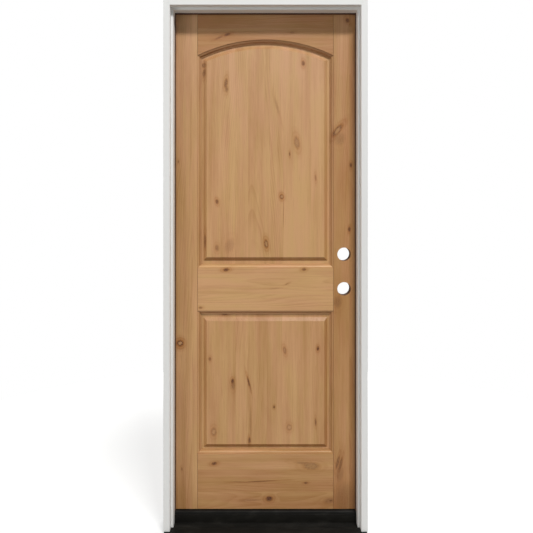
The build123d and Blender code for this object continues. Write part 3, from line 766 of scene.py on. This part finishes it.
def drawn_metal(name, finish, body, gloss, rough_level):
    """Dark drawn section with lines along its length, dust and rubbed edges."""
    material, graph, shader = new_material(name, Specular_IOR_Level=gloss)
    point = graph.place()
    line = graph.noise(graph.scaled(point, (3.0, 700.0, 700.0)), detail=3.0)
    dust = graph.noise(graph.scaled(point, (14.0, 40.0, 40.0)), detail=4.0)
    pale = tuple(min(1.0, channel * 2.4 + 0.004) for channel in body)
    base = graph.mix(graph.smooth(dust, 0.42, 0.85), rgba(body), rgba(pale))
    worn = edge_mask(graph, finish.edge_radius, 0.02, 0.25)
    base = graph.mix(graph.math("MULTIPLY", worn, 0.2), base, rgba(pale))
    rough = graph.math("MULTIPLY_ADD", line, 0.2, rough_level)
    finish_surface(graph, shader, base, rough, line, finish.edge_radius, 0.06 * MM)
    return material


def core_board(finish):
    """Speckled grey composite."""
    material, graph, shader = new_material("composite_core", Specular_IOR_Level=0.3)
    point = graph.place()
    speck = graph.noise(point, scale=420.0, detail=3.0)
    cloud = graph.noise(point, scale=22.0, detail=3.0)
    base = graph.tones(graph.smooth(speck, 0.35, 0.75), finish.composite, 2.2)
    rough = graph.math("MULTIPLY_ADD", cloud, 0.2, 0.65)
    finish_surface(graph, shader, base, rough, speck, finish.edge_radius, 0.2 * MM)
    return material


def hinge_bronze(finish):
    """Dark bronze finish, rubbed bright on the edges and clouded on the flats."""
    material, graph, shader = new_material("hinge_bronze", Metallic=1.0)
    point = graph.place()
    cloud = graph.noise(point, scale=55.0, detail=4.0)
    brush = graph.noise(graph.scaled(point, (900.0, 900.0, 25.0)), detail=2.0)
    worn = edge_mask(graph, 2.0 * finish.edge_radius, 0.01, 0.22)
    worn = graph.math("MULTIPLY", worn, graph.smooth(cloud, 0.30, 0.62))
    base = graph.tones(graph.flipped(cloud), finish.bronze, 0.72)
    base = graph.mix(worn, base, rgba(finish.worn_bronze))
    rough = graph.math("MULTIPLY_ADD", cloud, 0.28, 0.26)
    finish_surface(graph, shader, base, rough, brush, finish.edge_radius, 0.03 * MM)
    return material


def zinc_plate(finish):
    """Bright plated steel with a faint cloudy bloom."""
    material, graph, shader = new_material("zinc_plate", Metallic=1.0)
    point = graph.place()
    bloom = graph.noise(point, scale=240.0, detail=3.0)
    base = graph.tones(bloom, finish.zinc, 0.62)
    rough = graph.math("MULTIPLY_ADD", bloom, 0.3, 0.2)
    finish_surface(graph, shader, base, rough, bloom, finish.edge_radius / 4, 0.02 * MM)
    return material


def beech(finish):
    """Pale dowel wood with flutes along the peg."""
    material, graph, shader = new_material("dowel_beech", Specular_IOR_Level=0.3)
    point = graph.place()
    fibre = graph.noise(graph.scaled(point, (20.0, 900.0, 900.0)), detail=3.0)
    base = graph.tones(fibre, finish.beech, 0.7)
    rough = graph.math("MULTIPLY_ADD", fibre, 0.2, 0.5)
    finish_surface(graph, shader, base, rough, fibre, finish.edge_radius / 4, 0.1 * MM)
    return material


# Pieces


def dress(node, material):
    """Gives a CAD node one material."""
    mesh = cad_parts[node].data
    mesh.materials.clear()
    mesh.materials.append(material)


def shared(name, make, finish):
    """The material of this name, made at its first use."""
    return bpy.data.materials.get(name) or make(finish)


def new_piece(name, build, material, body, node):
    """Makes a mesh at the origin, riding on a body, in the place of a CAD node."""
    mesh = bpy.data.meshes.new(name)
    bm = bmesh.new()
    build(bm)
    bmesh.ops.remove_doubles(bm, verts=bm.verts, dist=WELD)
    bmesh.ops.recalc_face_normals(bm, faces=bm.faces)
    for face in bm.faces:
        face.smooth = True
    for edge in bm.edges:
        edge.smooth = edge.is_manifold and edge.calc_face_angle() < SMOOTH_TURN
    bm.to_mesh(mesh)
    bm.free()
    piece = bpy.data.objects.new(name, mesh)
    bpy.context.scene.collection.objects.link(piece)
    mesh.materials.append(material)
    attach(piece, body)
    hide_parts(node)
    return piece


def islands(node):
    """The vertices of a CAD node, one list for each of its separate solids."""
    bm = bmesh.new()
    bm.from_mesh(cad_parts[node].data)
    bmesh.ops.remove_doubles(bm, verts=bm.verts, dist=WELD)
    left = set(bm.verts)
    found = []
    for first in bm.verts:
        if first not in left:
            continue
        left.remove(first)
        waiting = [first]
        reached = []
        while waiting:
            vert = waiting.pop()
            reached.append(vert.co.copy())
            near = {edge.other_vert(vert) for edge in vert.link_edges} & left
            left -= near
            waiting.extend(near)
        found.append(reached)
    bm.free()
    return found


def corners(points):
    """The lowest and highest corner of a set of points."""
    return tuple(Vector(pick(point[axis] for point in points) for axis in range(3)) for pick in (min, max))


def add_section(bm, outline, rounds, place, run, steps):
    """Runs a section in millimetres along its third axis, with round corners at the numbered points."""
    points = [bm.verts.new((u * MM, v * MM, 0.0)) for u, v in outline]
    bm.faces.new(points)
    for radius in sorted(set(rounds.values()), reverse=True):
        bmesh.ops.bevel(
            bm, geom=[points[number] for number, value in rounds.items() if value == radius],
            offset=radius, offset_type="OFFSET", segments=5, profile=0.5, affect="VERTICES", material=-1,
        )
    bm.faces.ensure_lookup_table()
    front = bm.faces[:]
    for step in range(steps):
        grown = bmesh.ops.extrude_face_region(bm, geom=front, use_keep_orig=step == 0)["geom"]
        moved = [item for item in grown if isinstance(item, bmesh.types.BMVert)]
        bmesh.ops.translate(bm, verts=moved, vec=(0.0, 0.0, run / steps))
        front = [item for item in grown if isinstance(item, bmesh.types.BMFace)]
    bmesh.ops.transform(bm, matrix=place, verts=bm.verts)


def axes_matrix(origin, across, up, run):
    """A placing matrix from an origin and three axes."""
    return Matrix.Translation(origin) @ Matrix((across, up, run)).transposed().to_4x4()


def on_top(edge):
    """Whether an edge lies in the plane of a screw's head."""
    return all(abs(vert.co.z) < WELD for vert in edge.verts)


def screw_stock(length, shank, head, depth):
    """A flat-head screw with a cross recess: head at the origin, tip down."""
    bm = bmesh.new()
    taper = (head - shank) / math.tan(math.radians(41.0))
    line = ((head, 0.0), (shank, -taper), (shank, 2.0 * shank - length), (0.0, -length))
    profile = [bm.verts.new((radius, 0.0, height)) for radius, height in line]
    edges = [bm.edges.new(pair) for pair in zip(profile, profile[1:])]
    bmesh.ops.spin(
        bm, geom=profile + edges, cent=(0, 0, 0), axis=(0, 0, 1), angle=math.tau, steps=24, use_merge=True
    )
    bmesh.ops.remove_doubles(bm, verts=bm.verts, dist=WELD)
    rim = [edge for edge in bm.edges if on_top(edge)]
    wide, reach = 0.14 * head, 0.62 * head
    arm = ((wide, wide), (reach, wide), (reach, -wide))
    quarters = [Matrix.Rotation(-turn * math.pi / 2, 3, "Z") for turn in range(4)]
    cross = [quarter @ Vector((x, y, 0.0)) for quarter in quarters for x, y in arm]
    top = [bm.verts.new(point) for point in cross]
    floor = [bm.verts.new((0.5 * point.x, 0.5 * point.y, -depth)) for point in cross]
    lip = []
    for number in range(len(top)):
        after = (number + 1) % len(top)
        wall = bm.faces.new((top[number], top[after], floor[after], floor[number]))
        lip.extend(edge for edge in wall.edges if on_top(edge))
    bm.faces.new(floor)
    bmesh.ops.triangle_fill(bm, use_beauty=True, edges=rim + lip)
    mesh = bpy.data.meshes.new("screw_stock")
    bm.to_mesh(mesh)
    bm.free()
    return mesh


def unit(axis):
    """The unit vector of a numbered axis."""
    return Vector(float(axis == number) for number in range(3))


def off_axis(point, middle, axis):
    """How far a point stands from a line along a numbered axis."""
    away = point - middle
    return (away - away[axis] * unit(axis)).length


def add_screws(bm, node, depth):
    """Puts a recessed screw in the place of each plain screw of a CAD node."""
    for points in islands(node):
        low, high = corners(points)
        size = high - low
        axis = max(range(3), key=lambda number: size[number])
        middle = (low + high) / 2
        radii = [off_axis(point, middle, axis) for point in points]
        head = max(radii)
        shank = min(radius for radius in radii if radius > 0.2 * head)
        ends = [
            max(radius for radius, point in zip(radii, points) if abs(point[axis] - end[axis]) < 0.1 * MM)
            for end in (low, high)
        ]
        way = 1.0 if ends[1] > ends[0] else -1.0
        out = way * unit(axis)
        origin = middle + out * size[axis] / 2
        place = Matrix.Translation(origin) @ out.to_track_quat("Z", "Y").to_matrix().to_4x4()
        stock = screw_stock(size[axis], shank, head, depth)
        known = len(bm.verts)
        bm.from_mesh(stock)
        bm.verts.ensure_lookup_table()
        bmesh.ops.transform(bm, matrix=place, verts=bm.verts[known:])
        bpy.data.meshes.remove(stock)


# Operators


def dress_boards(boards, finish):
    """Gives each board its own alder."""
    grain = bpy.data.node_groups.get("alder_grain") or grain_group()
    knot = bpy.data.node_groups.get("alder_knot") or knot_group()
    for board in boards:
        dress(board.node, alder(board, finish, grain, knot))


class DOOR_OT_stiles(bpy.types.Operator):
    """Gives the two stiles their alder"""

    bl_idname = "arched_door.stiles"
    bl_label = "Stiles"

    def execute(self, context):
        dress_boards(STILES, context.scene.door_finish)
        return {"FINISHED"}


class DOOR_OT_rails(bpy.types.Operator):
    """Gives the arched top rail, the lock rail and the bottom rail their alder"""

    bl_idname = "arched_door.rails"
    bl_label = "Rails"

    def execute(self, context):
        dress_boards(RAILS, context.scene.door_finish)
        return {"FINISHED"}


class DOOR_OT_panels(bpy.types.Operator):
    """Gives the two raised panels their staves of alder"""

    bl_idname = "arched_door.panels"
    bl_label = "Panels"

    def execute(self, context):
        dress_boards(PANELS, context.scene.door_finish)
        return {"FINISHED"}


class DOOR_OT_stage(bpy.types.Operator):
    """Sets the floor, the lamps, the room's light and the camera"""

    bl_idname = "arched_door.stage"
    bl_label = "Stage"

    def execute(self, context):
        stage = context.scene.door_stage
        context.scene.view_settings.view_transform = "Standard"
        self.lay_floor(stage)
        self.light_room(context.scene, stage)
        for name, place, aim, size in LAMPS:
            self.hang_lamp(name + "_lamp", place, aim, size, getattr(stage, name + "_power"))
        self.set_camera(context.scene, stage)
        return {"FINISHED"}

    def lay_floor(self, stage):
        """A pale floor that reads as white to the eye, all white at its rim, and keeps the shadow."""
        rim = stage.floor_size / 2
        mesh = bpy.data.meshes.new("floor")
        bm = bmesh.new()
        bmesh.ops.create_circle(bm, cap_ends=True, segments=96, radius=rim)
        bm.to_mesh(mesh)
        bm.free()
        floor = bpy.data.objects.new("floor", mesh)
        bpy.context.scene.collection.objects.link(floor)
        material = bpy.data.materials.new("pale_floor")
        material.use_nodes = True
        graph = Graph(material.node_tree)
        matt = graph.add("ShaderNodeBsdfDiffuse", {"Color": rgba(stage.floor_colour)})
        away = graph.smooth(graph.vector("LENGTH", graph.place()), FLOOR_CENTRE * rim, rim)
        white = graph.math("MULTIPLY_ADD", away, 1.0 - stage.floor_glow, stage.floor_glow)
        glow = graph.add(
            "ShaderNodeEmission",
            {"Color": (1.0, 1.0, 1.0, 1.0), "Strength": graph.math("MULTIPLY", graph.seen(), white)},
        )
        both = graph.add("ShaderNodeAddShader", {0: matt.outputs[0], 1: glow.outputs[0]})
        graph.add("ShaderNodeOutputMaterial", {"Surface": both.outputs[0]})
        mesh.materials.append(material)

    def light_room(self, scene, stage):
        """A white room to the eye, and a dim even light on the door."""
        world = bpy.data.worlds.new("studio")
        scene.world = world
        world.use_nodes = True
        graph = Graph(world.node_tree)
        strength = graph.math("MULTIPLY_ADD", graph.seen(), 1.0 - stage.ambient, stage.ambient)
        sky = graph.add("ShaderNodeBackground", {"Color": (1.0, 1.0, 1.0, 1.0), "Strength": strength})
        graph.add("ShaderNodeOutputWorld", {"Surface": sky.outputs[0]})

    def hang_lamp(self, name, place, aim, size, watts):
        """A soft rectangular lamp at a place, aimed at a point."""
        lamp = bpy.data.lights.new(name, "AREA")
        lamp.shape = "RECTANGLE"
        lamp.size, lamp.size_y = size
        lamp.energy = watts
        holder = bpy.data.objects.new(name, lamp)
        bpy.context.scene.collection.objects.link(holder)
        holder.location = place
        holder.rotation_euler = (Vector(aim) - Vector(place)).to_track_quat("-Z", "Y").to_euler()

    def set_camera(self, scene, stage):
        """A level camera in front of the door."""
        camera = bpy.data.cameras.new("camera")
        camera.lens = stage.lens
        camera.shift_x, camera.shift_y = stage.shift
        holder = bpy.data.objects.new("camera", camera)
        scene.collection.objects.link(holder)
        holder.location = stage.eye
        holder.rotation_euler = (math.radians(90.0), 0.0, 0.0)
        scene.camera = holder


class DOOR_OT_frame_paint(bpy.types.Operator):
    """Primes the three jambs white"""

    bl_idname = "arched_door.frame_paint"
    bl_label = "Jambs"

    def execute(self, context):
        paint = primer(context.scene.door_finish)
        for node in PAINTED:
            dress(node, paint)
        return {"FINISHED"}


class DOOR_OT_sill(bpy.types.Operator):
    """Finishes the sill's deck and core and the threshold cap"""

    bl_idname = "arched_door.sill"
    bl_label = "Sill and cap"

    def execute(self, context):
        finish = context.scene.door_finish
        dress("sill_deck", drawn_metal("dark_deck", finish, finish.sill, gloss=0.13, rough_level=0.34))
        dress("threshold_cap", drawn_metal("black_cap", finish, finish.cap, gloss=0.08, rough_level=0.30))
        dress("sill_substrate", core_board(finish))
        return {"FINISHED"}


class DOOR_OT_hinges(bpy.types.Operator):
    """Finishes the hinge leaves and their pins"""

    bl_idname = "arched_door.hinges"
    bl_label = "Hinges"

    def execute(self, context):
        bronze = shared("hinge_bronze", hinge_bronze, context.scene.door_finish)
        for place in HINGE_PLACES:
            for part in ("frame_leaf", "door_leaf", "pin"):
                dress(f"{place}_hinge_{part}", bronze)
        return {"FINISHED"}


class DOOR_OT_screws(bpy.types.Operator):
    """Makes the recessed screws of the hinges and the frame's joints, and plates the cap's adjusters"""

    bl_idname = "arched_door.screws"
    bl_label = "Screws"

    def execute(self, context):
        finish = context.scene.door_finish
        bronze = shared("hinge_bronze", hinge_bronze, finish)
        materials = {"hinge_bronze": bronze, "zinc_steel": zinc_plate(finish)}
        for node, body, slot in SCREWS:
            new_piece(
                node + "_recessed", lambda bm: add_screws(bm, node, finish.recess_depth),
                materials[slot], body, node,
            )
        for node in ADJUSTERS:
            dress(node, materials["zinc_steel"])
        return {"FINISHED"}


class DOOR_OT_weatherstrip(bpy.types.Operator):
    """Makes the three foam seals, each with a round nose and a barbed fin"""

    bl_idname = "arched_door.weatherstrip"
    bl_label = "Weatherstrip"

    def execute(self, context):
        finish = context.scene.door_finish
        film = shared("seal_film", foam_skin, finish)
        for node, up, run in SEALS:
            low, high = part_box(node)
            ways = (Vector((0.0, 1.0, 0.0)), Vector(up), Vector(run))
            toward = ways[0] + ways[1] + ways[2]
            origin = Vector(low[axis] if toward[axis] > 0 else high[axis] for axis in range(3))
            size = high - low
            seal = new_piece(
                node + "_soft",
                lambda bm: self.build(bm, origin, ways, size, finish.seal_nose),
                film, "frame", node,
            )
        return {"FINISHED"}

    def build(self, bm, origin, ways, size, nose):
        """One seal: the fin first, then the bulb, whose nose is a little uneven along its length."""
        deep, tall, long = (abs(size.dot(way)) for way in ways)
        root = SEAL_FIN[-1][0]
        fin = [(u, SEAL_FIN_MIDDLE + v) for u, v in SEAL_FIN]
        back = [(u, SEAL_FIN_MIDDLE - v) for u, v in reversed(SEAL_FIN)]
        bulb = [(root, tall / MM), (deep / MM, tall / MM), (deep / MM, 0.0), (root, 0.0)]
        outline = fin + bulb + back
        first = len(fin)
        rounds = {first: nose, first + 1: nose, first + 2: nose / 4, first + 3: nose / 4}
        add_section(bm, outline, rounds, Matrix.Identity(4), long, 48)
        for vert in bm.verts:
            if vert.co.y > tall / 2:
                swell = sum(math.sin(wave * vert.co.z) for wave in SEAL_WAVES)
                vert.co.y += SEAL_RIPPLE * (swell - 1.0)
        bmesh.ops.transform(bm, matrix=axes_matrix(origin, *ways), verts=bm.verts)


class DOOR_OT_corner_pads(bpy.types.Operator):
    """Makes the two foam pads beside the threshold cap, with soft edges"""

    bl_idname = "arched_door.corner_pads"
    bl_label = "Corner pads"

    def execute(self, context):
        film = shared("seal_film", foam_skin, context.scene.door_finish)
        pads = new_piece("corner_pads_soft", self.build, film, "frame", "corner_pads")
        return {"FINISHED"}

    def build(self, bm):
        """Two blocks with round edges."""
        for points in islands("corner_pads"):
            low, high = corners(points)
            place = Matrix.Translation((low + high) / 2) @ Matrix.Diagonal(high - low).to_4x4()
            block = bmesh.ops.create_cube(bm, size=1.0, matrix=place)["verts"]
            edges = list({edge for vert in block for edge in vert.link_edges})
            bmesh.ops.bevel(
                bm, geom=edges, offset=PAD_ROUND, offset_type="OFFSET", segments=4, profile=0.5,
                affect="EDGES", material=-1,
            )


class DOOR_OT_sweep(bpy.types.Operator):
    """Makes the vinyl sweep under the door, with tapered fins and barbs"""

    bl_idname = "arched_door.sweep"
    bl_label = "Sweep"

    def execute(self, context):
        vinyl = black_vinyl(context.scene.door_finish)
        new_piece("door_sweep_finned", self.build, vinyl, "door", "door_sweep")
        return {"FINISHED"}

    def build(self, bm):
        """One section along the door: three fins under it and two barbs over it."""
        low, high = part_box("door_sweep")
        half = (high.y - low.y) / 2 / MM
        under = []
        for middle in (-half + SWEEP_FIN[0][0], 0.0, half - SWEEP_FIN[0][0]):
            under.extend((middle - wide, height) for wide, height in SWEEP_FIN)
            under.extend((middle + wide, height) for wide, height in reversed(SWEEP_FIN))
        over = []
        for middle in (SWEEP_BARB_PLACE, -SWEEP_BARB_PLACE):
            over.extend((middle + wide, height) for wide, height in SWEEP_BARB)
            over.extend((middle - wide, height) for wide, height in reversed(SWEEP_BARB))
        outline = [(-half, 0.0), *under, (half, 0.0), *over]
        origin = Vector((low.x, (low.y + high.y) / 2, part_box("hinge_stile")[0].z))
        ways = (Vector((0.0, 1.0, 0.0)), Vector((0.0, 0.0, 1.0)), Vector((1.0, 0.0, 0.0)))
        add_section(bm, outline, {}, axes_matrix(origin, *ways), high.x - low.x, 1)


class DOOR_OT_dowels(bpy.types.Operator):
    """Gives the hidden dowels their wood"""

    bl_idname = "arched_door.dowels"
    bl_label = "Dowels"

    def execute(self, context):
        wood = beech(context.scene.door_finish)
        for node in DOWELS:
            dress(node, wood)
        return {"FINISHED"}


OPERATORS = (
    DOOR_OT_stiles,
    DOOR_OT_rails,
    DOOR_OT_panels,
    DOOR_OT_dowels,
    DOOR_OT_frame_paint,
    DOOR_OT_weatherstrip,
    DOOR_OT_corner_pads,
    DOOR_OT_sweep,
    DOOR_OT_sill,
    DOOR_OT_hinges,
    DOOR_OT_screws,
    DOOR_OT_stage,
)


class DOOR_PT_sidebar(bpy.types.Panel):
    """Lists the door's operators and what can be changed on it"""

    bl_idname = "DOOR_PT_sidebar"
    bl_label = "Arched door"
    bl_space_type = "VIEW_3D"
    bl_region_type = "UI"
    bl_category = "Door"

    def draw(self, context):
        for operator in OPERATORS:
            self.layout.operator(operator.bl_idname)
        for kind, group in ((DoorFinish, context.scene.door_finish), (DoorStage, context.scene.door_stage)):
            for name in kind.__annotations__:
                self.layout.prop(group, name)


CLASSES = (DoorFinish, DoorStage, *OPERATORS, DOOR_PT_sidebar)


def register():
    for item in CLASSES:
        bpy.utils.register_class(item)
    bpy.types.Scene.door_finish = PointerProperty(type=DoorFinish)
    bpy.types.Scene.door_stage = PointerProperty(type=DoorStage)


def unregister():
    del bpy.types.Scene.door_stage
    del bpy.types.Scene.door_finish
    for item in reversed(CLASSES):
        bpy.utils.unregister_class(item)


def main():
    register()
    for operator in OPERATORS:
        family, name = operator.bl_idname.split(".")
        getattr(getattr(bpy.ops, family), name)()


if __name__ == "__main__":
    main()
